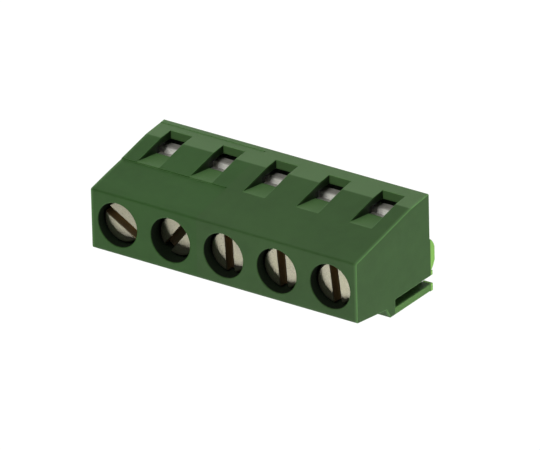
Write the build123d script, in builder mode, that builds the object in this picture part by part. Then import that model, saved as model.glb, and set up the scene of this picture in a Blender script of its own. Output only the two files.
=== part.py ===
from build123d import *
import os

# Five-way screw terminal block for a printed circuit board.
#
# Two moulded housings, a three-way and a two-way one, are slid together side by side.
# Each way holds one rising-cage clamp: a slotted screw, a folded cage that the screw lifts,
# and a bent contact strip whose tongue runs through the cage and whose pin is soldered.
#
# The frame is the one of the circuit board: +Z points away from the board, the board face
# is z = 0, the solder pins are in line along X at y = 0, and the origin is the centre pin.
# The wires enter from the front, which is -Y. All sizes are in millimetres.

os.makedirs("parts", exist_ok=True)

# Ways
pitch = 5.0
three_way_count = 3
two_way_count = 2
first_way_x = -2 * pitch

# Room round the moving and fitted pieces
side_clearance = 0.07
end_clearance = 0.1
fit_clearance = 0.05

# Cage that lifts the wire
end_wall = 0.33
cage_sheet = 0.6
cage_bend_radius = 0.3
cage_travel = 1.3
lip_foot_gap = 0.05
rest_lift = 0.6
thread_diameter = 3.0
thread_rear_edge = 0.35
thread_front_edge = 0.8
lip_reach = 0.79
lip_drop = 0.35
lip_inset = 0.25
lip_corner_radius = 0.45
seam_width = 0.15
seam_inset = 0.23

# Contact strip and solder pin
strip_thickness = 0.8
strip_side_gap = 0.2
strip_bend_radius = 0.2
closing_gap = 0.07
roof_gap = 0.08
nose_height = 0.41
nose_setback = 0.04
pin_diameter = 0.8
pin_length = 2.9
pin_chamfer = 0.2
leg_foot_gap = 0.1

# Screw and its well
well_diameter = 3.75
head_clearance = 0.15
head_height = 1.45
head_chamfer = 0.16
thread_clearance = 0.05
shoulder_clearance = 0.2
shoulder_thickness = 1.2
head_seat_gap = 0.16
tip_gap = 0.09
tip_chamfer = 0.45
slot_width = 0.7
slot_depth = 0.75
head_recesses = (0.76, 0.79, 0.84, 1.06, 0.71)
slot_angles = (97.0, 95.0, 93.0, 51.0, 150.0)

# Housing outline, seen from the end
stand_off = 0.65
well_margin = 0.675
slope_break_height = 2.42
slope_break_inset = 0.25
rear_wall = 1.17
rear_foot_height = 5.4
rear_ledge_height = 5.94
rear_ledge_depth = 0.87
long_edge_radius = 0.18
end_edge_radius = 0.1

# Set-back upper slope and base band of the two-way housing
set_back_depth = 0.12
set_back_height = 9.25
band_height = 0.42
band_depth = 0.06

# Wire window in the front
window_width = 2.1
sill_height = 1.1
sill_thickness = 0.73
ledge_thickness = 0.2
lip_gap = 0.51
nose_gap = 0.02
hood_thickness = 0.72
hood_wall = 0.4
recess_height = 5.7

# Interlock between neighbouring housings
groove_strip = 0.62
groove_width = 0.72
groove_depth = 0.8
groove_height = 4.8
groove_undercut = 0.16
rib_length = 0.7

# Feet that hold the underside off the board
foot_chord = 2.86
foot_flat_cut = 0.1
foot_setback = 1.67
pad_width = 1.2
pad_depth = 0.35
pad_front_inset = 0.45
nub_height = 0.33
nub_depth = 0.38

# Heights that follow, from the board up. The cages are modelled part of the way up
underside_z = stand_off
ledge_z = underside_z + ledge_thickness
open_floor_z = ledge_z + lip_foot_gap + lip_drop + cage_sheet
tongue_z = open_floor_z + cage_travel + closing_gap
tongue_top_z = tongue_z + strip_thickness
open_top_z = tongue_top_z + roof_gap + 2 * cage_sheet
chamber_top_z = open_top_z + cage_travel + end_clearance
cage_floor_z = open_floor_z + rest_lift
cage_bottom_z = cage_floor_z - cage_sheet
cage_top_z = open_top_z + rest_lift
cage_roof_z = cage_top_z - 2 * cage_sheet
shoulder_z = chamber_top_z + shoulder_thickness
top_z = shoulder_z + head_seat_gap + head_height + max(head_recesses)
break_z = underside_z + slope_break_height
sill_z = underside_z + sill_height
nose_top_z = tongue_z + nose_height
hood_z = nose_top_z + nose_gap
recess_z = underside_z + recess_height

# Places that follow along Y, from the pins at 0
leg_half = strip_thickness / 2
rear_y = leg_half + rear_wall
cage_rear_y = -leg_half - end_clearance
screw_y = cage_rear_y - thread_rear_edge - thread_diameter / 2
cage_front_y = screw_y - thread_diameter / 2 - thread_front_edge
chamber_front_y = cage_front_y - end_clearance
hood_y = chamber_front_y - hood_thickness
sill_inner_y = cage_front_y - lip_reach - lip_gap
sill_front_y = sill_inner_y - sill_thickness
front_y = sill_front_y - slope_break_inset * (sill_z - underside_z) / slope_break_height
break_y = front_y + slope_break_inset
top_half = well_diameter / 2 + well_margin
top_front_y = screw_y - top_half
top_rear_y = screw_y + top_half
slope_run = (top_front_y - break_y) / (top_z - break_z)
nose_front_y = hood_y + nose_setback
pocket_front_y = hood_y + hood_wall
tongue_front_y = pocket_front_y + fit_clearance
groove_outer_y = rear_y - groove_strip
groove_inner_y = groove_outer_y - groove_width

# Widths and diameters that follow
chamber_width = pitch - 2 * end_wall
cage_width = chamber_width - 2 * side_clearance
lip_width = cage_width - 2 * lip_inset
strip_width = cage_width - 2 * cage_sheet - 2 * strip_side_gap
strip_slot_width = strip_width + 2 * fit_clearance
head_diameter = well_diameter - 2 * head_clearance
shank_diameter = thread_diameter - 2 * thread_clearance
shank_length = shoulder_z + head_seat_gap - tongue_top_z - tip_gap
nose_width = window_width - 2 * fit_clearance


def slope_y(z):
    """Front slope of the housing at a height."""
    return top_front_y - (top_z - z) * slope_run


def lower_front_y(z):
    """Lower facet of the front, between the board side and the slope break."""
    return front_y + slope_break_inset * (z - underside_z) / slope_break_height


recess_y = slope_y(recess_z)


def make_housing(first_x, way_count, outer_end, stepped):
    """One moulded housing, its groove on the -X end and its rib on the +X end.

    outer_end is -1 or 1, for the end that no neighbour covers and whose rim is rounded.
    """
    start_x = first_x - pitch / 2
    end_x = start_x + way_count * pitch
    way_xs = [first_x + way * pitch for way in range(way_count)]

    with BuildPart() as housing:
        with BuildSketch(Plane.YZ.offset(start_x)):
            with BuildLine():
                Polyline(
                    (front_y, underside_z),
                    (break_y, break_z),
                    (top_front_y, top_z),
                    (top_rear_y, top_z),
                    (rear_y - rear_ledge_depth, underside_z + rear_ledge_height),
                    (rear_y, underside_z + rear_foot_height),
                    (rear_y, underside_z),
                    close=True,
                )
            make_face()
        extrude(amount=way_count * pitch)
        top_face = housing.faces().sort_by(Axis.Z)[-1]
        fillet(top_face.edges().filter_by(Axis.X), radius=long_edge_radius)
        end_face = housing.faces().sort_by(Axis.X)[-1 if outer_end > 0 else 0]
        rim = end_face.edges().filter_by(lambda edge: edge.center().Z > underside_z + end_edge_radius)
        fillet(rim, radius=end_edge_radius)

        if stepped:
            # Upper slope set back a little above the windows, and a proud band at the base
            with BuildSketch(Plane.YZ.offset(start_x)):
                with BuildLine():
                    Polyline(
                        (recess_y - set_back_depth, recess_z),
                        (recess_y + set_back_depth, recess_z),
                        (slope_y(underside_z + set_back_height), underside_z + set_back_height),
                        close=True,
                    )
                make_face()
                band_z = underside_z + band_height
                with BuildLine():
                    Polyline(
                        (lower_front_y(band_z) - band_depth, band_z),
                        (lower_front_y(band_z) + band_depth, band_z),
                        (break_y, break_z),
                        close=True,
                    )
                make_face()
            extrude(amount=way_count * pitch, mode=Mode.SUBTRACT)

        # Screw wells, with a shoulder under each head
        with BuildSketch(Plane.XY.offset(top_z)):
            with Locations([(x, screw_y) for x in way_xs]):
                Circle(well_diameter / 2)
        extrude(amount=shoulder_z - top_z, mode=Mode.SUBTRACT)
        with BuildSketch(Plane.XY.offset(shoulder_z)):
            with Locations([(x, screw_y) for x in way_xs]):
                Circle(shank_diameter / 2 + shoulder_clearance)
        extrude(amount=-shoulder_thickness, mode=Mode.SUBTRACT)

        # Chambers for the cages, open to the board
        with BuildSketch(Plane.XY.offset(underside_z)):
            with Locations([(x, (chamber_front_y - leg_half) / 2) for x in way_xs]):
                Rectangle(chamber_width, -leg_half - chamber_front_y)
        extrude(amount=chamber_top_z - underside_z, mode=Mode.SUBTRACT)

        # Room in front of each chamber for the lip of the cage, closed below by a ledge
        with BuildSketch(Plane.XY.offset(ledge_z)):
            with Locations([(x, (sill_inner_y + chamber_front_y) / 2) for x in way_xs]):
                Rectangle(lip_width + 2 * side_clearance, chamber_front_y - sill_inner_y)
        extrude(amount=tongue_z - ledge_z, mode=Mode.SUBTRACT)

        # Slots that hold the contact strips, behind the chamber and under the hood
        with BuildSketch(Plane.XY.offset(underside_z)):
            with Locations([(x, 0) for x in way_xs]):
                Rectangle(strip_slot_width, strip_thickness)
        extrude(amount=tongue_top_z - underside_z, mode=Mode.SUBTRACT)
        with BuildSketch(Plane.XY.offset(tongue_z)):
            with Locations([(x, (pocket_front_y + chamber_front_y) / 2) for x in way_xs]):
                Rectangle(strip_slot_width, chamber_front_y - pocket_front_y)
        extrude(amount=strip_thickness, mode=Mode.SUBTRACT)

        # Wire windows: a recess in the slope above the opening, and a sill below it
        for x in way_xs:
            with BuildSketch(Plane.YZ.offset(x - window_width / 2)):
                with BuildLine():
                    Polyline(
                        (front_y - slope_break_inset, sill_z),
                        (chamber_front_y, sill_z),
                        (chamber_front_y, hood_z),
                        (hood_y, hood_z),
                        (recess_y, recess_z),
                        (front_y - slope_break_inset, recess_z),
                        close=True,
                    )
                make_face()
            extrude(amount=window_width, mode=Mode.SUBTRACT)

        # Interlock: an undercut groove, and the rib that slides into a neighbour's groove
        with BuildSketch(Plane.XY.offset(underside_z)):
            with BuildLine():
                Polyline(
                    (start_x, groove_outer_y),
                    (start_x, groove_inner_y),
                    (start_x + groove_depth, groove_inner_y - groove_undercut),
                    (start_x + groove_depth, groove_outer_y),
                    close=True,
                )
            make_face()
        extrude(amount=groove_height, mode=Mode.SUBTRACT)
        with BuildSketch(Plane.XY.offset(underside_z)):
            with BuildLine():
                Polyline(
                    (end_x, groove_outer_y - fit_clearance),
                    (end_x, groove_inner_y + fit_clearance),
                    (end_x + rib_length, groove_inner_y + fit_clearance - groove_undercut),
                    (end_x + rib_length, groove_outer_y - fit_clearance),
                    close=True,
                )
            make_face()
        extrude(amount=groove_height - fit_clearance)

        # Round feet on the two end walls
        arc_height = stand_off + foot_flat_cut
        foot_radius = (foot_chord**2 / 4 + arc_height**2) / (2 * arc_height)
        foot_y = rear_y - foot_setback - foot_chord / 2
        for wall_x in (start_x, end_x - end_wall):
            with BuildSketch(Plane.YZ.offset(wall_x)):
                with Locations((foot_y, foot_radius - foot_flat_cut)):
                    Circle(foot_radius)
                with Locations((foot_y, stand_off / 2)):
                    Rectangle(foot_chord, stand_off, mode=Mode.INTERSECT)
            extrude(amount=end_wall)

        # Pads under the front wall, and low nubs beside the groove
        with BuildSketch(Plane.XY):
            with Locations([(x, front_y + pad_front_inset + pad_depth / 2) for x in way_xs]):
                Rectangle(pad_width, pad_depth)
        extrude(amount=stand_off)
        with BuildSketch(Plane.XY.offset(underside_z)):
            with Locations((start_x + groove_depth / 2, rear_y - groove_strip / 2)):
                Rectangle(groove_depth, groove_strip)
            with Locations((start_x + end_wall / 2, groove_inner_y - nub_depth / 2)):
                Rectangle(end_wall, nub_depth)
        extrude(amount=-nub_height)

    return housing.part


def make_screw(x, head_recess, slot_angle):
    """Slotted clamp screw, plain where it is threaded."""
    head_top_z = top_z - head_recess
    with BuildPart() as screw:
        with BuildSketch(Plane.XY.offset(head_top_z)):
            with Locations((x, screw_y)):
                Circle(head_diameter / 2)
        extrude(amount=-head_height)
        chamfer(screw.edges().group_by(Axis.Z)[-1], length=head_chamfer)
        with BuildSketch(Plane.XY.offset(head_top_z - head_height)):
            with Locations((x, screw_y)):
                Circle(shank_diameter / 2)
        extrude(amount=-shank_length)
        chamfer(screw.edges().group_by(Axis.Z)[0], length=tip_chamfer)
        with BuildSketch(Plane.XY.offset(head_top_z)):
            with Locations(Location((x, screw_y), slot_angle)):
                Rectangle(2 * head_diameter, slot_width)
        extrude(amount=-slot_depth, mode=Mode.SUBTRACT)
    return screw.part


def make_cage(x):
    """Cage folded from one strip, with a lapped double roof and a lip that dips to the wire."""
    with BuildPart() as cage:
        with BuildSketch(Plane.XZ.offset(-cage_rear_y)):
            with Locations((x, (cage_bottom_z + cage_top_z) / 2)):
                RectangleRounded(cage_width, cage_top_z - cage_bottom_z, cage_bend_radius)
            with Locations((x, (cage_floor_z + cage_roof_z) / 2)):
                Rectangle(cage_width - 2 * cage_sheet, cage_roof_z - cage_floor_z, mode=Mode.SUBTRACT)
        extrude(amount=cage_rear_y - cage_front_y)
        with BuildSketch(Plane.YZ.offset(x - lip_width / 2)):
            with BuildLine():
                Polyline(
                    (cage_front_y, cage_floor_z),
                    (cage_front_y - lip_reach, cage_floor_z - lip_drop),
                    (cage_front_y - lip_reach, cage_bottom_z - lip_drop),
                    (cage_front_y, cage_bottom_z),
                    close=True,
                )
            make_face()
        extrude(amount=lip_width)
        lip_end = cage.faces().sort_by(Axis.Y)[0]
        fillet(lip_end.edges().filter_by(Axis.Z), radius=lip_corner_radius)
        with BuildSketch(Plane.XY.offset(cage_top_z)):
            with Locations((x, screw_y)):
                Circle(thread_diameter / 2)
        extrude(amount=cage_roof_z - cage_top_z, mode=Mode.SUBTRACT)
        with BuildSketch(Plane.XY.offset(cage_top_z)):
            seam_x = x + (cage_width - seam_width) / 2 - seam_inset
            with Locations((seam_x, (cage_rear_y + cage_front_y) / 2)):
                Rectangle(seam_width, cage_rear_y - cage_front_y)
        extrude(amount=-cage_sheet, mode=Mode.SUBTRACT)
    return cage.part


def make_contact(x):
    """Contact strip: tongue through the cage, its nose under the hood, leg and solder pin."""
    leg_end_z = underside_z + leg_foot_gap
    with BuildPart() as contact:
        with BuildSketch(Plane.YZ.offset(x - strip_width / 2)) as side:
            with BuildLine():
                Polyline(
                    (tongue_front_y, tongue_top_z),
                    (leg_half, tongue_top_z),
                    (leg_half, leg_end_z),
                    (-leg_half, leg_end_z),
                    (-leg_half, tongue_z),
                    (tongue_front_y, tongue_z),
                    close=True,
                )
            make_face()
            outer_corner = side.vertices().sort_by_distance((leg_half, tongue_top_z))[0]
            fillet(outer_corner, radius=strip_bend_radius + strip_thickness)
            inner_corner = side.vertices().sort_by_distance((-leg_half, tongue_z))[0]
            fillet(inner_corner, radius=strip_bend_radius)
        extrude(amount=strip_width)
        with BuildSketch(Plane.XY.offset(tongue_z)):
            with Locations((x, (nose_front_y + tongue_front_y) / 2)):
                Rectangle(nose_width, tongue_front_y - nose_front_y)
        extrude(amount=nose_height)
        with BuildSketch(Plane.XY.offset(leg_end_z)):
            with Locations((x, 0)):
                Circle(pin_diameter / 2)
        extrude(amount=-leg_end_z - pin_length)
        chamfer(contact.edges().group_by(Axis.Z)[0], length=pin_chamfer)
    return contact.part


ways = range(three_way_count + two_way_count)
way_x = [first_way_x + way * pitch for way in ways]

housing_three_way = make_housing(way_x[0], three_way_count, outer_end=-1, stepped=False)
housing_two_way = make_housing(way_x[three_way_count], two_way_count, outer_end=1, stepped=True)
housing_three_way.label = "housing_three_way"
housing_two_way.label = "housing_two_way"
pieces = [housing_three_way, housing_two_way]

for way in ways:
    screw = make_screw(way_x[way], head_recesses[way], slot_angles[way])
    screw.label = f"clamp_screw_{way + 1}"
    cage = make_cage(way_x[way])
    cage.label = f"lift_cage_{way + 1}"
    contact = make_contact(way_x[way])
    contact.label = f"contact_pin_{way + 1}"
    pieces += [screw, cage, contact]

for piece in pieces:
    export_step(piece, f"parts/{piece.label}.step")
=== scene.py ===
# %% [markdown]
# A screw terminal block for a circuit board. Two green moulded housings are slid together,
# and each of the five ways holds a slotted screw, a folded metal cage and a contact strip.
# The solid parts come from the packed model, so the first step is to load it and to keep
# its box. Blender works in metres, so the millimetre gets a name of its own.

# %% Load the parts and keep their box
import math

import bpy
from mathutils import Matrix, Vector


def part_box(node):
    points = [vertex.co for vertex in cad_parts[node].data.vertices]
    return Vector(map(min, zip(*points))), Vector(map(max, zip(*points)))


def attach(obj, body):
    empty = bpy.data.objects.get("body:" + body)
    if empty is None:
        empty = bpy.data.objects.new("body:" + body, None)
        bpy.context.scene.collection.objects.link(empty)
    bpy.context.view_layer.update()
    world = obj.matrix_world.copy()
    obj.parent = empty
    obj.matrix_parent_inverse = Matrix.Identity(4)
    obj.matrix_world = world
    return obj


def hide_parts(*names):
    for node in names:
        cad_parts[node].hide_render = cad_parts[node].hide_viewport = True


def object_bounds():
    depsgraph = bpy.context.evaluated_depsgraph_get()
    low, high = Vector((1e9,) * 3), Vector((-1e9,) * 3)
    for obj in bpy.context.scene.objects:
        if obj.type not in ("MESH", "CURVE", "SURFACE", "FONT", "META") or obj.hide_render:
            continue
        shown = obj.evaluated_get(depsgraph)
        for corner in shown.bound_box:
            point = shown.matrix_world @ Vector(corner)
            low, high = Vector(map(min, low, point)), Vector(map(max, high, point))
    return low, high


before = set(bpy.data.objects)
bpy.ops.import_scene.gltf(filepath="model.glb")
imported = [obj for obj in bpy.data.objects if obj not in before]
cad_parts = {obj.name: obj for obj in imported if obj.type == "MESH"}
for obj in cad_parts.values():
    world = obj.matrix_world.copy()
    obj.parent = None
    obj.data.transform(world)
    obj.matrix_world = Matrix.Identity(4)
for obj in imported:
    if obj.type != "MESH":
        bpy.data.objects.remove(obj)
cad_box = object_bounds()
scene = bpy.context.scene
MM = 0.001
print("box in mm:", [round(side / MM, 2) for side in cad_box[1] - cad_box[0]])

# %% [markdown]
# Everything on the block repeats from way to way, so the first thing to know is where the
# ways are. They could be typed in, but then they would be wrong as soon as the solids
# change. The middle of each screw's box gives the axis of its way, and two axes the pitch.

# %% Find the ways
WAYS = range(1, 1 + sum(name.startswith("clamp_screw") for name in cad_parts))


def screw_axis(way):
    low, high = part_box(f"clamp_screw_{way}")
    return Vector(((low.x + high.x) / 2, (low.y + high.y) / 2, 0))


PITCH = (screw_axis(2).x - screw_axis(1).x) / MM
SCREW_Y = screw_axis(1).y / MM
print("ways:", len(WAYS), "pitch in mm:", round(PITCH, 3), "axes at y:", round(SCREW_Y, 3))

# %% [markdown]
# The photograph shows the block from above its screws and its right end, through a long
# lens, with the wire side turned up. A camera could be moved by hand until it fits. It is
# easier to keep right when it is placed by numbers with a meaning: an azimuth and an
# elevation round the block, a little roll, and the point that it aims at. The long lens
# keeps parallel edges almost parallel, and its length follows from the picture's scale.

# %% The camera
AIM = Vector((-0.317, -2.636, 4.692)) * MM
WIRE_SIDE = Vector((0, -1, 0))
VIEW_AZIMUTH = math.radians(-49.8)
VIEW_ELEVATION = math.radians(47.03)
VIEW_ROLL = math.radians(-1.4)
VIEW_DISTANCE = 1.0246
FAR_CLIP = 10.0
PIXELS_PER_METRE = 12927
PHOTO_WIDTH = 540
SENSOR_WIDTH = 36


def view_axes():
    """The picture's right, its up and the way back to the camera."""
    back = Vector((math.cos(VIEW_ELEVATION) * math.sin(VIEW_AZIMUTH),
                   -math.cos(VIEW_ELEVATION) * math.cos(VIEW_AZIMUTH),
                   math.sin(VIEW_ELEVATION)))
    level_right = (-back).cross(WIRE_SIDE).normalized()
    turn = Matrix.Rotation(-VIEW_ROLL, 3, -back)
    right = turn @ level_right
    return right, back.cross(right), back


right, up, back = view_axes()
camera = bpy.data.objects.new("camera", bpy.data.cameras.new("camera"))
scene.collection.objects.link(camera)
camera.data.sensor_width = SENSOR_WIDTH
camera.data.lens = PIXELS_PER_METRE * VIEW_DISTANCE * SENSOR_WIDTH / PHOTO_WIDTH
camera.data.clip_end = FAR_CLIP
placed = Matrix((right, up, back)).transposed().to_4x4()
placed.translation = AIM + back * VIEW_DISTANCE
camera.matrix_world = placed
scene.camera = camera
scene.view_settings.view_transform = "Standard"
print("lens:", round(camera.data.lens), "mm")

# %% [markdown]
# Materials and Geometry Nodes are both trees of nodes. Each node could be placed and wired
# in lines of its own, but a long mask then hides in the wiring. A Flow is one value on its
# way through a tree: adding, multiplying or comparing it puts in the Math node, so a mask
# reads like a sum. A true comparison gives 1 and a false one 0.


# %% A value on its way through a tree
class Flow:
    """The output of a node, with arithmetic that adds Math nodes."""

    def __init__(self, recipe, socket):
        self.recipe = recipe
        self.socket = socket

    def math(self, operation, *others):
        return self.recipe.node("ShaderNodeMath", {"operation": operation},
                                dict(enumerate((self, *others))))

    def __add__(self, other):
        return self.math("ADD", other)

    def __mul__(self, other):
        return self.math("MULTIPLY", other)

    def __sub__(self, other):
        return self.math("SUBTRACT", other)

    def __rsub__(self, other):
        return self.math("MULTIPLY", -1) + other

    def __lt__(self, other):
        return self.math("LESS_THAN", other)

    def __gt__(self, other):
        return self.math("GREATER_THAN", other)

    __radd__ = __add__
    __rmul__ = __mul__

    def size(self):
        return self.math("ABSOLUTE")

    def most(self, other):
        return self.math("MAXIMUM", other)

    def between(self, low, high):
        """0 at low, 1 at high, and smooth in between."""
        return self.recipe.node("ShaderNodeMapRange", {"interpolation_type": "SMOOTHSTEP"},
                                {"Value": self, "From Min": low, "From Max": high})


print("a Flow understands + - * < > and size, most, between")

# %% [markdown]
# Every other node comes from one method. It takes the node's type, its settings, which are
# set first because some of them change the sockets, and its inputs. An input is a plain
# value or a Flow, and a Flow is wired up.


# %% A tree under construction
class Recipe:
    """A node tree under construction."""

    def __init__(self, tree):
        self.tree = tree

    def node(self, kind, settings=None, inputs=None, output=0):
        made = self.tree.nodes.new(kind)
        for name, value in (settings or {}).items():
            setattr(made, name, value)
        for key, value in (inputs or {}).items():
            if isinstance(value, Flow):
                self.tree.links.new(value.socket, made.inputs[key])
            else:
                made.inputs[key].default_value = value
        return Flow(self, made.outputs[output]) if len(made.outputs) else None

    def split(self, vector):
        """The X, Y and Z of a vector."""
        parts = self.node("ShaderNodeSeparateXYZ", inputs={0: vector})
        return [Flow(self, socket) for socket in parts.socket.node.outputs]


print("one method makes every node:", Recipe.node.__name__)

# %% [markdown]
# A material adds a few words to that: where a point lies on its piece, noise with cells of
# a real size, a mix of two colours, and a bump of a real depth. All of them read the
# piece's own coordinates, so the grain stays on a part that moves. Colours are given as
# they show on a screen, from 0 to 255, and turned into the linear light of the shader.


# %% A material under construction
class Finish(Recipe):
    """A material, or the world, under construction."""

    def __init__(self, owner):
        owner.use_nodes = True
        owner.node_tree.nodes.clear()
        super().__init__(owner.node_tree)
        self.owner = owner

    def place(self, scale=(1, 1, 1)):
        """The point on the piece, in millimetres, stretched by a scale."""
        point = self.node("ShaderNodeTexCoord", output="Object")
        stretch = tuple(share / MM for share in scale)
        return self.node("ShaderNodeMapping", inputs={"Vector": point, "Scale": stretch})

    def noise(self, cell, detail=2.0, scale=(1, 1, 1)):
        """Soft noise from 0 to 1, with cells of a size in millimetres."""
        return self.node("ShaderNodeTexNoise", {},
                         {"Vector": self.place(scale), "Scale": 1 / cell, "Detail": detail})

    def blend(self, share, low, high):
        """A mix of two colours."""
        return self.node("ShaderNodeMix", {"data_type": "RGBA"},
                         {"Factor": share, 6: low, 7: high}, output=2)

    def bump(self, height, depth, normal=None):
        """A bump whose full height is a depth in millimetres."""
        inputs = {"Height": height, "Distance": depth * MM, "Strength": 1.0}
        if normal:
            inputs["Normal"] = normal
        return self.node("ShaderNodeBump", {}, inputs)

    def surface(self, **inputs):
        """The surface shader and the output node."""
        named = {key.replace("_", " "): value for key, value in inputs.items()}
        shader = self.node("ShaderNodeBsdfPrincipled", {}, named)
        self.node("ShaderNodeOutputMaterial", {}, {"Surface": shader})
        return self.owner


def linear(colour, share=1.0):
    """A share of a screen colour, as the shader's linear one."""
    return tuple(((share * part / 255 + 0.055) / 1.055) ** 2.4 for part in colour) + (1.0,)


print("screen grey 128 in linear light:", round(linear((128, 128, 128))[0], 3))

# %% [markdown]
# The housings are moulded polyamide, a satin plastic that lets a little light in. Its shades
# could be painted on a picture. Masks worked out from the moulding's sizes stay sharp at any
# distance, and they fit the wells and windows by themselves, because those repeat at every
# way. The distance to the nearest way along X is one ramp folded at each pitch. A Bevel node
# gives the normal that a small rounding would have; the joint of the two housings stays
# sharp, because nothing is rounded there.

# %% Places on a moulded housing
JOINT_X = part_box("housing_two_way")[0].x / MM
JOINT_MARGIN = 0.1
EDGE_RADIUS = 0.11


class Moulding(Finish):
    """The green plastic under construction, with places on a housing in millimetres."""

    def __init__(self, name):
        super().__init__(bpy.data.materials.new(name))
        self.x, self.y, self.z = self.split(self.place())
        self.true_normal = self.node("ShaderNodeNewGeometry", output="Normal")
        self.normal_x, self.normal_y = self.split(self.true_normal)[:2]
        self.rounded = self.node("ShaderNodeBevel", {"samples": 8}, {"Radius": EDGE_RADIUS * MM})
        from_joint = (self.x - JOINT_X).size()
        self.away_from_joint = from_joint.between(JOINT_MARGIN, 2 * JOINT_MARGIN)
        folded = (self.x * (1 / PITCH) + 0.5).math("FRACT") - 0.5
        self.from_way = folded.size() * PITCH


print("joint of the housings at x in mm:", round(JOINT_X, 3))

# %% [markdown]
# Moulded plastic is never one flat colour. The green drifts softly along the length where
# the melt flowed in, with small clouds over that. Two noises do it: a wide one stretched
# along X for the flow, and a finer one for the clouds. Both stay within a few percent of the
# tone, or the block would look stained.

# %% The green and its soft drift
FLOW_CELL = 3.5
FLOW_STRETCH = (0.5, 1, 1)
CLOUD_CELL = 0.9
CLOUD_SHARE = 0.25


def drifting_green(mould, tone):
    """The housing's tone, a little darker and lighter where the melt flowed."""
    flow = mould.noise(FLOW_CELL, 3.0, FLOW_STRETCH).between(0.35, 0.65)
    cloud = mould.noise(CLOUD_CELL, 2.0).between(0.3, 0.7)
    green = mould.blend(flow, linear(tone), linear(tone, 0.95))
    return mould.blend(cloud * CLOUD_SHARE, green, linear(tone, 1.08))


print("flow and cloud cells in mm:", FLOW_CELL, CLOUD_CELL)

# %% [markdown]
# The narrow front facet under the windows gets a painted sheen, and every sharp edge, most
# of all the rims of the two ends, gets a painted highlight; both turn the green pale. An edge
# shows itself where the rounded normal and the true one part. The rims of the ends lean away
# from X, so the X of the normal finds them. The top's edges get no painted highlight, and nor
# does the joint.

# %% Painted sheen on the front facet and painted highlights on the edges
BREAK_Y = -6.544
BREAK_Z = 3.07
FACET_FADE = 0.1
FACET_MARGIN = 0.03
FACET_SHEEN_GREEN = (98, 128, 86)
FACET_SHARE = 0.75
TOP_Z = cad_box[1].z / MM
TOP_MARGIN = 0.3
END_X = -cad_box[0].x / MM
RIM_WIDTH = 0.2
BAND_WIDTH = 0.35
EDGE_HIGHLIGHT_GREEN = (108, 154, 92)
EDGE_SHARE = 0.55
RIM_SHARE = 0.5
BAND_SHARE = 0.4


def painted_front_sheen(mould, green):
    """A painted sheen on the front facet, which lies below the break of the slope and faces
    forwards.
    """
    below = 1 - mould.z.between(BREAK_Z - FACET_FADE, BREAK_Z + FACET_FADE)
    facet = below * (mould.y < BREAK_Y + FACET_MARGIN) * (mould.normal_y < -0.5)
    return mould.blend(facet * FACET_SHARE, green, linear(FACET_SHEEN_GREEN))


def painted_edge_highlights(mould, green):
    """Painted highlights on edges, on the rounded rims of the ends, and in a fading band beside
    them.
    """
    same = mould.node("ShaderNodeVectorMath", {"operation": "DOT_PRODUCT"},
                      {0: mould.rounded, 1: mould.true_normal}, output="Value")
    below_top = mould.z < TOP_Z - TOP_MARGIN
    edge = (1 - same).between(0.01, 0.2) * mould.away_from_joint * below_top
    towards_end = mould.normal_x.size()
    leaning = 1 - towards_end.between(0.9, 0.99)
    from_middle = mould.x.size()
    rim = towards_end.between(0.1, 0.3) * leaning * (from_middle > END_X - RIM_WIDTH)
    band = from_middle.between(END_X - BAND_WIDTH, END_X) * leaning
    painted_highlight = (edge * EDGE_SHARE).most(rim * RIM_SHARE).most(band * BAND_SHARE)
    return mould.blend(painted_highlight, green, linear(EDGE_HIGHLIGHT_GREEN))


print("rim and band at the ends in mm:", RIM_WIDTH, BAND_WIDTH)

# %% [markdown]
# Each wire window is a recess with a hood above it and a sill below, and both face the
# light, so they are a little paler than the slope around them. The side walls of the recess
# and the chamber behind it get almost no light. The renderer works out shadows by itself,
# but the photograph's are much deeper, so a mask adds to them. A hair of 0.02 mm either way
# keeps a mask from flickering on the face that it ends at.

# %% The wire windows
HAIR = 0.02
WINDOW_HALF = 1.05
RECESS_Z = 6.35
HOOD_Z = 3.65
CHAMBER_FRONT_Y = -4.75
CHAMBER_REAR_Y = 0.4
CHAMBER_HALF = 2.2
SILL_Z = 1.75
SILL_INNER_Y = -5.95
SLOPE_RUN = 0.2192
HOOD_LIT_GREEN = (86, 122, 72)
HOOD_SHARE = 0.6
SILL_LIT_GREEN = (104, 142, 88)
SILL_SHARE = 0.45


def at_window(mould):
    """1 in the recess of a window, its faces included, and 0 elsewhere."""
    beside = (mould.from_way < WINDOW_HALF + HAIR) * (mould.z < RECESS_Z + HAIR)
    return beside * (mould.z > SILL_Z - HAIR) * (mould.y < 0)


def painted_light_window_faces(mould, green):
    """Painted light on the hood's face and on the top of the sill."""
    window = at_window(mould)
    inside = window * (mould.from_way < WINDOW_HALF - HAIR)
    hood = inside * (mould.z > HOOD_Z + HAIR) * (mould.y < CHAMBER_FRONT_Y)
    green = mould.blend(hood * HOOD_SHARE, green, linear(HOOD_LIT_GREEN))
    sill = window * (mould.z < SILL_Z + HAIR) * (mould.y < SILL_INNER_Y + HAIR)
    return mould.blend(sill * SILL_SHARE, green, linear(SILL_LIT_GREEN))


def window_side(mould):
    """1 on the side walls of a recess, from the slope inwards."""
    slope_y = (mould.z - BREAK_Z) * SLOPE_RUN + BREAK_Y
    behind_slope = (mould.y - slope_y).between(0.05, 0.3)
    return at_window(mould) * (mould.from_way > WINDOW_HALF - HAIR) * behind_slope


def chamber(mould):
    """1 in the room for the cage, behind the sill and under the hood."""
    under_hood = (mould.z < HOOD_Z + HAIR) * (mould.y > SILL_INNER_Y + HAIR / 2)
    return under_hood * (mould.from_way < CHAMBER_HALF) * (mould.y < CHAMBER_REAR_Y)


print("window in mm:", 2 * WINDOW_HALF, "wide,", round(RECESS_Z - SILL_Z, 2), "high")
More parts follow.
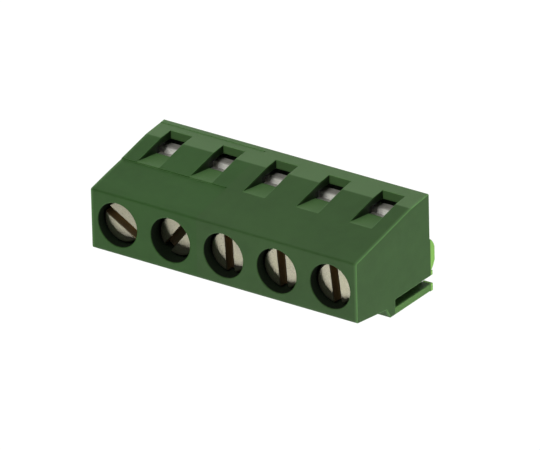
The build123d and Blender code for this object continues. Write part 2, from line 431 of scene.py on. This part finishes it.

# %% [markdown]
# A screw well is a round hole down to the screw's head. Its wall gets painted shade, nearly
# black from the rim down, and it is duller than the outside, so that it mirrors no lamp. The
# distance from the screw's axis finds the wall, and the depth below the top fades the painted shade
# in at the rim.

# %% The screw wells
WELL_RADIUS = 1.875
WELL_FADE = 0.15
SHADE_GREEN = (6, 10, 5)
SHADE_SHARE = 0.95
SIDE_SHADE = 0.74


def in_well(mould):
    """1 on the wall of a well, and fading out at its rim."""
    away_y = mould.y - SCREW_Y
    from_screw = (mould.from_way * mould.from_way + away_y * away_y).math("SQRT")
    depth = TOP_Z - mould.z
    return (from_screw < WELL_RADIUS + 2 * HAIR) * depth.between(-HAIR, WELL_FADE)


def shaded(mould, green, well):
    """Painted shade on everything that little light reaches."""
    dark = well.most(window_side(mould) * SIDE_SHADE).most(chamber(mould))
    return mould.blend(dark * SHADE_SHARE, green, linear(SHADE_GREEN))


print("well across in mm:", 2 * WELL_RADIUS)

# %% [markdown]
# The foot and the nubs under the block are so thin that light shines through them, and in
# the photograph they glow yellow-green. The strip beside the groove of one end is thicker
# and only turns pale. Real translucence would need a far stronger scatter on those walls
# alone, so the colour says it instead.

# %% The thin foot and the strip beside the groove
FOOT_TOP_Z = 0.62
FOOT_FADE = 0.1
FOOT_GREEN = (146, 204, 96)
FOOT_SHARE = 0.85
GROOVE_Y = 0.95
STRIP_TOP_Z = 5.5
STRIP_GREEN = (96, 140, 72)
STRIP_SHARE = 0.6


def glowing_thin_walls(mould, green):
    """The foot below a height, and the strip of the end face behind the groove."""
    foot = (1 - mould.z.between(FOOT_TOP_Z - FOOT_FADE, FOOT_TOP_Z)) * FOOT_SHARE
    on_end = (mould.y > GROOVE_Y - HAIR) * (mould.normal_x < -0.9)
    strip = on_end * (mould.z < STRIP_TOP_Z) * STRIP_SHARE
    thin_green = mould.blend(foot, linear(STRIP_GREEN), linear(FOOT_GREEN))
    return mould.blend(foot.most(strip), green, thin_green)


print("foot up to", FOOT_TOP_Z, "mm, strip up to", STRIP_TOP_Z, "mm")

# %% [markdown]
# The finish puts those steps together, from the tone of the plastic to the light that shines
# through it. The gloss is low and broken by a fine grain, as a spark-eroded mould leaves it,
# and slow waves in the wall bend the reflections a little, as sink marks do. The two
# housings differ slightly in colour, as two batches do, so each has a green of its own.

# %% The moulded plastic of the two housings
GRAIN_CELL = 0.05
WAVE_CELL = 1.2
GRAIN_DEPTH = 0.003
WAVE_DEPTH = 0.015
SATIN = 0.46
GRAIN_DULLS = 0.12
WELL_DULLS = 0.35
LIGHT_REACH = (0.25 * MM, 0.6 * MM, 0.2 * MM)


def moulded_plastic(name, tone):
    """A housing's material, from the tone of its plastic."""
    mould = Moulding(name)
    green = drifting_green(mould, tone)
    green = painted_front_sheen(mould, green)
    green = painted_edge_highlights(mould, green)
    green = painted_light_window_faces(mould, green)
    well = in_well(mould)
    green = shaded(mould, green, well)
    green = glowing_thin_walls(mould, green)
    grain = mould.noise(GRAIN_CELL, 3.0)
    waves = mould.noise(WAVE_CELL, 2.0)
    soft = mould.node("ShaderNodeMix", {"data_type": "VECTOR"},
                      {"Factor": mould.away_from_joint, 4: mould.true_normal, 5: mould.rounded},
                      output=1)
    return mould.surface(
        Base_Color=green,
        Roughness=grain * GRAIN_DULLS + well * WELL_DULLS + SATIN,
        IOR=1.5,
        Specular_IOR_Level=0.1,
        Subsurface_Weight=0.04,
        Subsurface_Radius=LIGHT_REACH,
        Subsurface_Scale=1.0,
        Normal=mould.bump(grain, GRAIN_DEPTH, mould.bump(waves, WAVE_DEPTH, soft)),
    )


three_way_green = moulded_plastic("green_plastic_three_way", (59, 89, 48))
two_way_green = moulded_plastic("green_plastic_two_way", (56, 90, 45))
print("nodes in one green:", len(three_way_green.node_tree.nodes))

# %% [markdown]
# The screws are zinc plated, the cages nickel plated and the contacts tinned. Plating is
# bright but never even: it has fine grain, soft cloudy patches and small dark specks. The
# three finishes differ in colour, in grain, in how far the grain is drawn out along the
# strip, and in how dull they are. A screw's slot is painted a darker brown, as painted
# shade for the little light that reaches into it; the screws carry the slot's faces as an
# attribute called cut, which reads as nothing on the other parts. A sheared end shows the bare steel
# under the nickel.

# %% The plated metals
SLOT_SHADE_BROWN = (150, 134, 104)
SHEARED_STEEL = (60, 54, 44)
PATCH_CELL = 0.8
GRAIN_SHARE = 0.6
SPECK_CELLS = 2.5
SPECK_SHARE = 0.5
SHEARED_SHARE = 0.7
RAGGED = 0.25
LIP_END_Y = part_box("lift_cage_1")[0].y / MM


def plated_metal(name, light, dull, grain, roughness, relief, metallic=1.0, drawn=(1, 1, 1),
                 sheared_y=None):
    """A plating between a light and a dull colour, with its grain and relief in millimetres."""
    mix = Finish(bpy.data.materials.new(name))
    patch = mix.noise(PATCH_CELL, 3.0).between(0.3, 0.7)
    fine = mix.noise(grain, 3.0, drawn)
    speck = mix.noise(SPECK_CELLS * grain, 2.0).between(0.66, 0.74)
    metal = mix.blend(patch, linear(light), linear(dull))
    metal = mix.blend(fine.between(0.4, 0.7) * GRAIN_SHARE, metal, linear(dull, 0.8))
    metal = mix.blend(speck * SPECK_SHARE, metal, linear(dull, 0.5))
    if sheared_y is not None:
        y = mix.split(mix.place())[1]
        ragged_y = y + fine * RAGGED
        sheared = 1 - ragged_y.between(sheared_y + 0.15, sheared_y + 0.35)
        metal = mix.blend(sheared * SHEARED_SHARE, metal, linear(SHEARED_STEEL))
    cut = mix.node("ShaderNodeAttribute", {"attribute_name": "cut"}, output="Fac")
    # Painted shade: the faces marked cut turn a darker brown.
    metal = mix.blend(cut, metal, linear(SLOT_SHADE_BROWN))
    return mix.surface(
        Base_Color=metal,
        Metallic=metallic,
        Roughness=fine * 0.08 + patch * 0.05 + cut * 0.15 + roughness,
        Normal=mix.bump(fine, relief),
    )


zinc = plated_metal("zinc_plate", light=(214, 210, 188), dull=(190, 186, 160),
                    grain=0.07, roughness=0.26, relief=0.0015)
nickel = plated_metal("nickel_plate", light=(250, 249, 240), dull=(240, 238, 228),
                      grain=0.08, roughness=0.5, relief=0.004, metallic=0.15,
                      drawn=(0.3, 1, 1), sheared_y=LIP_END_Y)
tin = plated_metal("tin_plate", light=(208, 206, 196), dull=(184, 182, 172),
                   grain=0.1, roughness=0.3, relief=0.002, metallic=0.9, drawn=(1, 1, 0.3))
print("nodes in one metal:", len(zinc.node_tree.nodes))

# %% [markdown]
# A part's name says what it is made of, so the names can hand out the materials. Each part
# could be named in a list instead, but the start of the name does for all five ways at once.

# %% Give every part its material
finishes = {"housing_three_way": three_way_green, "housing_two_way": two_way_green,
            "clamp_screw": zinc, "lift_cage": nickel, "contact_pin": tin}
for name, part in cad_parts.items():
    finish = next(finishes[start] for start in finishes if name.startswith(start))
    part.data.materials.clear()
    part.data.materials.append(finish)
print("parts with a material:", len(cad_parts), "materials:", len(finishes))

# %% [markdown]
# The screws and the threads repeat at every way and follow a rule, so Geometry Nodes make
# them. They could be built from lists of points, but a tree with named sizes can be run
# again with other sizes. A tree is a Recipe too. It gets a few words for solid shapes, and
# it ends by turning instances into real faces and giving them their metal.


# %% Geometry Nodes with named sizes
class Shape(Recipe):
    """A Geometry Nodes tree with named sizes, in metres."""

    def __init__(self, name, sizes):
        super().__init__(bpy.data.node_groups.new(name, "GeometryNodeTree"))
        kinds = {size: "NodeSocketFloat" for size in sizes}
        kinds["Metal"] = "NodeSocketMaterial"
        self.sockets = {size: self.tree.interface.new_socket(size, in_out="INPUT", socket_type=kind)
                        for size, kind in kinds.items()}
        self.tree.interface.new_socket("Geometry", in_out="OUTPUT", socket_type="NodeSocketGeometry")
        entry = self.tree.nodes.new("NodeGroupInput")
        self.given = {size: Flow(self, entry.outputs[size]) for size in kinds}

    def vector(self, x=0.0, y=0.0, z=0.0):
        return self.node("ShaderNodeCombineXYZ", inputs={0: x, 1: y, 2: z})

    def move(self, geometry, z, turn=0.0):
        return self.node("GeometryNodeTransform", {},
                         {"Geometry": geometry, "Translation": self.vector(z=z),
                          "Rotation": self.vector(z=turn)})

    def cone(self, low_radius, high_radius, low_z, height, sides):
        made = self.node("GeometryNodeMeshCone", {"fill_type": "NGON"},
                         {"Vertices": sides, "Radius Bottom": low_radius,
                          "Radius Top": high_radius, "Depth": height})
        return self.move(made, low_z)

    def mark(self, geometry, name, domain, value):
        """Keep a number on each face or edge under a name."""
        return self.node("GeometryNodeStoreNamedAttribute",
                         {"data_type": "FLOAT", "domain": domain},
                         {"Geometry": geometry, "Name": name, "Value": value})

    def finish(self, *pieces):
        joined = self.tree.nodes.new("GeometryNodeJoinGeometry")
        for piece in pieces:
            self.tree.links.new(piece.socket, joined.inputs[0])
        real = self.node("GeometryNodeRealizeInstances", {},
                         {"Geometry": Flow(self, joined.outputs[0])})
        dressed = self.node("GeometryNodeSetMaterial", {},
                            {"Geometry": real, "Material": self.given["Metal"]})
        leave = self.tree.nodes.new("NodeGroupOutput")
        self.tree.links.new(dressed.socket, leave.inputs[0])


print("a Shape can:", [word for word in vars(Shape) if not word.startswith("_")])

# %% [markdown]
# A tree runs as a modifier on an empty mesh. Its inputs are set by the identifier of each
# socket, because two sockets may share a name. A Bevel modifier after it rounds the edges
# that carry a weight. The evaluated result is then kept as a plain mesh and the maker is
# thrown away, so nothing live is left on the piece. Level faces stay flat in the shading,
# or the big flat heads would look puffed.

# %% Run a tree and keep a plain mesh
LEVEL = 0.999
SMOOTH_UP_TO = math.radians(35)
BEVEL_STEPS = 3


def run(shape, name, place, values, rounding=0.0):
    """The result of a tree with its values, as a piece at a place."""
    maker = bpy.data.objects.new(name + "_maker", bpy.data.meshes.new(name + "_maker"))
    scene.collection.objects.link(maker)
    sizes = maker.modifiers.new("sizes", "NODES")
    sizes.node_group = shape.tree
    for size, value in values.items():
        sizes[shape.sockets[size].identifier] = value
    if rounding:
        edges = maker.modifiers.new("edges", "BEVEL")
        edges.limit_method = "WEIGHT"
        edges.width = rounding
        edges.segments = BEVEL_STEPS
        edges.use_clamp_overlap = False
    ready = maker.evaluated_get(bpy.context.evaluated_depsgraph_get())
    mesh = bpy.data.meshes.new_from_object(ready)
    bpy.data.objects.remove(maker)
    mesh.transform(Matrix.Translation(place))
    mesh.shade_smooth()
    mesh.set_sharp_from_angle(angle=SMOOTH_UP_TO)
    for face in mesh.polygons:
        face.use_smooth = abs(face.normal.z) < LEVEL
    piece = bpy.data.objects.new(name, mesh)
    scene.collection.objects.link(piece)
    return piece


def triangles(piece):
    return sum(len(face.vertices) - 2 for face in piece.data.polygons)


print("rounded edges get", BEVEL_STEPS, "steps")

# %% [markdown]
# An M3 screw has a thread with a lead of 0.5 mm and flanks at 30 degrees. In the solids the
# thread is a plain shank. It could be cut out of the shank with a Boolean, which is slow and
# leaves slivers. Here a small trapezoid is swept along a helix, which keeps the flanks true.
# The same sweep makes the ridge inside the cage when its tooth points inwards. Curve Spiral
# winds to the left unless Reverse is on, and a clamp screw is right-handed.

# %% A ridge along a helix
LEAD = 0.5 * MM
FLANK = math.tan(math.radians(30))
STEPS_A_TURN = 32


def ridge(shape, turns, radius, crest, height, low_z, inwards=False):
    """A tooth swept along a right-handed helix that runs round its mid radius."""
    path = shape.node("GeometryNodeCurveSpiral", {},
                      {"Resolution": STEPS_A_TURN, "Rotations": turns, "Start Radius": radius,
                       "End Radius": radius, "Height": turns * LEAD, "Reverse": True})
    path = shape.node("GeometryNodeSetCurveNormal", {"mode": "Z_UP"}, {"Curve": path})
    tooth = shape.node("GeometryNodeCurvePrimitiveQuadrilateral", {"mode": "TRAPEZOID"},
                       {"Height": height, "Bottom Width": height * (2 * FLANK) + crest,
                        "Top Width": crest, "Offset": 0.0})
    tooth = shape.move(tooth, 0.0, math.radians(90 if inwards else -90))
    swept = shape.node("GeometryNodeCurveToMesh", {},
                       {"Curve": path, "Profile Curve": tooth, "Fill Caps": True})
    return shape.move(swept, low_z)


print("lead in mm:", LEAD / MM, "flank run for 1 mm of height:", round(2 * FLANK, 3), "mm")

# %% [markdown]
# The clamp screw's head is a plain cylinder with a sawn slot for a flat screwdriver. The
# slot is the one place where a Boolean is right: a saw really cuts it. The faces inside it
# are marked cut for the painted shade of their darker brown colour. The edges get a bevel
# weight, full on the rim, which was tumbled, and a small one along the slot.

# %% The clamp screw's head
HEAD_SIDES = 108
ON_RIM = 0.98
SKIN = 0.01 * MM
SHARP_BEND = math.radians(35)
SLOT_EDGE_WEIGHT = 0.28

screw_tree = Shape("clamp_screw", ["Head Radius", "Head Height", "Slot Width", "Slot Depth",
                                   "Slot Angle", "Neck Length", "Crest Radius", "Root Radius",
                                   "Shank Length", "Tip Chamfer", "Turns"])
given = screw_tree.given
under_head = 0 - given["Head Height"]
blank = screw_tree.cone(given["Head Radius"], given["Head Radius"], under_head,
                        given["Head Height"], HEAD_SIDES)
saw = screw_tree.node("GeometryNodeMeshCube", {},
                      {"Size": screw_tree.vector(given["Head Radius"] * 4, given["Slot Width"],
                                                 given["Slot Depth"] * 2)})
sawn = screw_tree.node("GeometryNodeMeshBoolean", {"operation": "DIFFERENCE", "solver": "EXACT"},
                       {"Mesh 1": blank, "Mesh 2": saw})
across, along, height = screw_tree.split(screw_tree.node("GeometryNodeInputPosition"))
from_axis = (across * across + along * along).math("SQRT")
in_slot = (from_axis < given["Head Radius"] * ON_RIM) * (height < -SKIN)
in_slot = in_slot * (height > given["Slot Depth"] * -1.02)
sawn = screw_tree.mark(sawn, "cut", "FACE", in_slot)
bend = screw_tree.node("GeometryNodeInputMeshEdgeAngle")
on_rim = from_axis > given["Head Radius"] * ON_RIM
weight = on_rim * (1 - SLOT_EDGE_WEIGHT) + SLOT_EDGE_WEIGHT
weight = (bend > SHARP_BEND) * (height > -SKIN) * weight
sawn = screw_tree.mark(sawn, "bevel_weight_edge", "EDGE", weight)
head = screw_tree.move(sawn, 0.0, given["Slot Angle"])
print("nodes for the head:", len(screw_tree.tree.nodes))

# %% [markdown]
# Under the head come a plain neck, the core that carries the rolled thread, and a short
# tapered tip that finds the hole in the cage. Each of them is a closed shape of its own, and
# it is sunk a little into the next one, by different amounts, so that no two faces lie in
# the same plane. The tooth is sunk into the core in the same way.

# %% The clamp screw's shank and thread
SHANK_SIDES = 48
SUNK = 0.1 * MM
ROOT_SUNK = 0.03 * MM
TIP_TAPER = 0.6
TIP_INSET = 0.99
CREST = 0.07 * MM
THREAD_LIFT = 0.2 * MM

tip_z = under_head - given["Shank Length"]
thread_foot = tip_z + given["Tip Chamfer"]
neck = screw_tree.cone(given["Crest Radius"], given["Crest Radius"],
                       under_head - given["Neck Length"], given["Neck Length"] + SUNK,
                       SHANK_SIDES)
core_length = given["Shank Length"] - given["Tip Chamfer"]
core = screw_tree.cone(given["Root Radius"], given["Root Radius"], thread_foot,
                       core_length + SUNK * 0.5, SHANK_SIDES)
tip = screw_tree.cone(given["Root Radius"] - given["Tip Chamfer"] * TIP_TAPER,
                      given["Root Radius"] * TIP_INSET, tip_z,
                      given["Tip Chamfer"] + SUNK * 0.1, SHANK_SIDES)
tooth_height = given["Crest Radius"] - given["Root Radius"] + ROOT_SUNK
thread = ridge(screw_tree, given["Turns"], given["Crest Radius"] - tooth_height * 0.5,
               CREST, tooth_height, thread_foot + THREAD_LIFT)
screw_tree.finish(head, neck, core, tip, thread)
print("nodes for the whole screw:", len(screw_tree.tree.nodes))

# %% [markdown]
# The hole in the cage's roof is tapped. Its thread is the same ridge with the tooth turned
# inwards and its root sunk into the wall of the hole. It is a mesh of its own, because it
# rides with the cage while the screw turns in it.

# %% The tree of the thread inside a cage
NUT_CREST = 0.1 * MM
nut_tree = Shape("cage_thread", ["Hole Radius", "Ridge Height", "Turns"])
given = nut_tree.given
mid_radius = given["Hole Radius"] - given["Ridge Height"] * 0.5
nut_tree.finish(ridge(nut_tree, given["Turns"], mid_radius, NUT_CREST, given["Ridge Height"],
                      0.0, inwards=True))
print("nodes for the cage's thread:", len(nut_tree.tree.nodes))

# %% [markdown]
# A screw takes its place, its length and its head's radius from the box of the solid that
# it replaces. The rest are sizes of an M3 clamp screw. The turns of thread fill the room
# between the neck and the tip.

# %% Make one clamp screw
HEAD_HEIGHT = 1.45 * MM
SLOT_WIDTH = 0.7 * MM
SLOT_DEPTH = 0.75 * MM
NECK_LENGTH = 0.5 * MM
CREST_RADIUS = 1.45 * MM
ROOT_RADIUS = 1.2 * MM
TIP_CHAMFER = 0.45 * MM
RIM_ROUNDING = 0.14 * MM


def make_screw(way, slot_angle):
    """The screw of a way, riding its body in place of the plain solid."""
    low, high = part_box(f"clamp_screw_{way}")
    shank = high.z - low.z - HEAD_HEIGHT
    turns = math.floor((shank - TIP_CHAMFER - THREAD_LIFT - NECK_LENGTH) / LEAD)
    screw = run(screw_tree, f"screw_{way}_threaded", screw_axis(way) + Vector((0, 0, high.z)), {
        "Head Radius": (high.x - low.x) / 2,
        "Head Height": HEAD_HEIGHT,
        "Slot Width": SLOT_WIDTH,
        "Slot Depth": SLOT_DEPTH,
        "Slot Angle": math.radians(slot_angle),
        "Neck Length": NECK_LENGTH,
        "Crest Radius": CREST_RADIUS,
        "Root Radius": ROOT_RADIUS,
        "Shank Length": shank,
        "Tip Chamfer": TIP_CHAMFER,
        "Turns": turns,
        "Metal": zinc,
    }, RIM_ROUNDING)
    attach(screw, f"screw_{way}")
    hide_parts(f"clamp_screw_{way}")
    return screw


print("slot in mm:", round(SLOT_WIDTH / MM, 2), "wide,", round(SLOT_DEPTH / MM, 2), "deep")

# %% [markdown]
# A screw and its nut mesh when the ridges of one lie in the grooves of the other, so the
# cage's ridge starts half a lead above the screw's, plus as many whole leads as bring it up
# into the roof. It stays in mesh at every pose, because the screw turns once for each lead
# that the cage climbs.

# %% Make the thread inside one cage
ROOF_THICKNESS = 1.2 * MM
HOLE_RADIUS = 1.52 * MM
NUT_RIDGE = 0.26 * MM


def make_cage_thread(way):
    """The thread in a cage's roof, riding with that cage."""
    half_lead_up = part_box(f"clamp_screw_{way}")[0].z + TIP_CHAMFER + THREAD_LIFT + LEAD / 2
    half_base = NUT_RIDGE * FLANK + NUT_CREST / 2
    roof_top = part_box(f"lift_cage_{way}")[1].z
    leads_up = math.ceil((roof_top - ROOF_THICKNESS + half_base - half_lead_up) / LEAD)
    low_z = half_lead_up + leads_up * LEAD
    nut = run(nut_tree, f"cage_{way}_thread", screw_axis(way) + Vector((0, 0, low_z)), {
        "Hole Radius": HOLE_RADIUS,
        "Ridge Height": NUT_RIDGE,
        "Turns": (roof_top - half_base - low_z) / LEAD,
        "Metal": nickel,
    })
    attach(nut, f"cage_{way}")
    return nut


print("cage's crest radius in mm:", round((HOLE_RADIUS - NUT_RIDGE) / MM, 2))

# %% [markdown]
# Each screw in the photograph was left at its own angle, so each way has an angle for its
# slot, seen from above and counted from the row.

# %% Run both trees at every way
SLOT_ANGLES = (97, 95, 93, 51, 150)

for way, slot_angle in zip(WAYS, SLOT_ANGLES):
    screw = make_screw(way, slot_angle)
    nut = make_cage_thread(way)
print("triangles in a screw:", triangles(screw), "and in a cage's thread:", triangles(nut))

# %% [markdown]
# The block sits on a plain white floor, and the picture's ground is pure white. More light
# would bleach the block too. Instead the Light Path node lets the floor shine white to the
# camera and to mirrors, while the light that falls on the block still comes from the lamps.
# A small share of plain paper stays in the mix, so that the floor keeps a soft shadow.

# %% The floor
FLOOR_SIDE = 3.0
PAPER_WHITE = (0.85, 0.85, 0.85, 1)
FULL_WHITE = (1, 1, 1, 1)
GLOW_STRENGTH = 1.08
GLOW_SHARE = 0.93

floor_height = cad_box[0].z
bpy.ops.mesh.primitive_plane_add(size=FLOOR_SIDE, location=(0, 0, floor_height))
floor = bpy.context.object
floor.name = "floor"

sweep = Finish(bpy.data.materials.new("white_sweep"))
rays = sweep.node("ShaderNodeLightPath").socket.node.outputs
seen = Flow(sweep, rays["Is Camera Ray"]) + Flow(sweep, rays["Is Glossy Ray"])
seen = (seen + Flow(sweep, rays["Is Transmission Ray"])).math("MINIMUM", 1)
paper = sweep.node("ShaderNodeBsdfDiffuse", {}, {"Color": PAPER_WHITE})
glow = sweep.node("ShaderNodeEmission", {}, {"Color": FULL_WHITE, "Strength": GLOW_STRENGTH})
mixed = sweep.node("ShaderNodeMixShader", {}, {0: seen * GLOW_SHARE, 1: paper, 2: glow})
sweep.node("ShaderNodeOutputMaterial", {}, {"Surface": mixed})
floor.data.materials.append(sweep.owner)
print("floor at", round(floor_height / MM, 2), "mm")

# %% [markdown]
# The world is white to the camera. Bright metal shows what stands around it, and in the
# photograph the heads mirror a dark studio, with one side that is open and brighter. So to
# mirrors the world is nearly dark except on that side, and it adds only a faint fill to
# what is in shadow.

# %% The world
OPEN_SIDE_STRENGTH = 0.4
DARK_SIDE_STRENGTH = 0.02
FILL_STRENGTH = 0.06

world = bpy.data.worlds.new("studio")
scene.world = world
sky = Finish(world)
rays = sky.node("ShaderNodeLightPath").socket.node.outputs
seen = Flow(sky, rays["Is Camera Ray"]) + Flow(sky, rays["Is Transmission Ray"])
glossy = Flow(sky, rays["Is Glossy Ray"])
towards = sky.split(sky.node("ShaderNodeTexCoord", output="Generated"))
open_side = 1 - (towards[0] + towards[1]).between(-0.2, 0.3)
mirrored = glossy * (open_side * OPEN_SIDE_STRENGTH + DARK_SIDE_STRENGTH)
fill = (1 - seen - glossy) * FILL_STRENGTH
studio = sky.node("ShaderNodeBackground", {},
                  {"Color": FULL_WHITE, "Strength": seen + mirrored + fill})
sky.node("ShaderNodeOutputWorld", {}, {"Surface": studio})
print("nodes in the world:", len(sky.tree.nodes))

# %% [markdown]
# Three soft square lamps light the block. One stands in front of the windows, one above
# looks down into the wells from behind, and one is level with the grooved end. They could
# be larger for softer shadows, but the shadow edges inside the wells are fairly crisp.

# %% The lamps
LAMP_DISTANCE = 0.4


def lamp(name, direction, side, power):
    """A soft square lamp that looks at the block."""
    data = bpy.data.lights.new(name, "AREA")
    data.size = side
    data.energy = power
    thing = bpy.data.objects.new(name, data)
    scene.collection.objects.link(thing)
    outwards = Vector(direction).normalized()
    thing.location = AIM + outwards * LAMP_DISTANCE
    thing.rotation_euler = outwards.to_track_quat("Z", "Y").to_euler()
    return thing


lamps = [lamp("front_lamp", (0.0, -0.8, 0.6), 0.2, 0.95),
         lamp("top_lamp", (0.44, 0.8, 0.62), 0.1, 1.03),
         lamp("end_lamp", (-1, 0.35, 0.1), 0.25, 1.65)]
print("lamps:", len(lamps), "with", round(sum(one.data.energy for one in lamps), 2), "watts in all")

# %% [markdown]
# The dressed block has to keep the size of the solids, because other models are fitted to it.
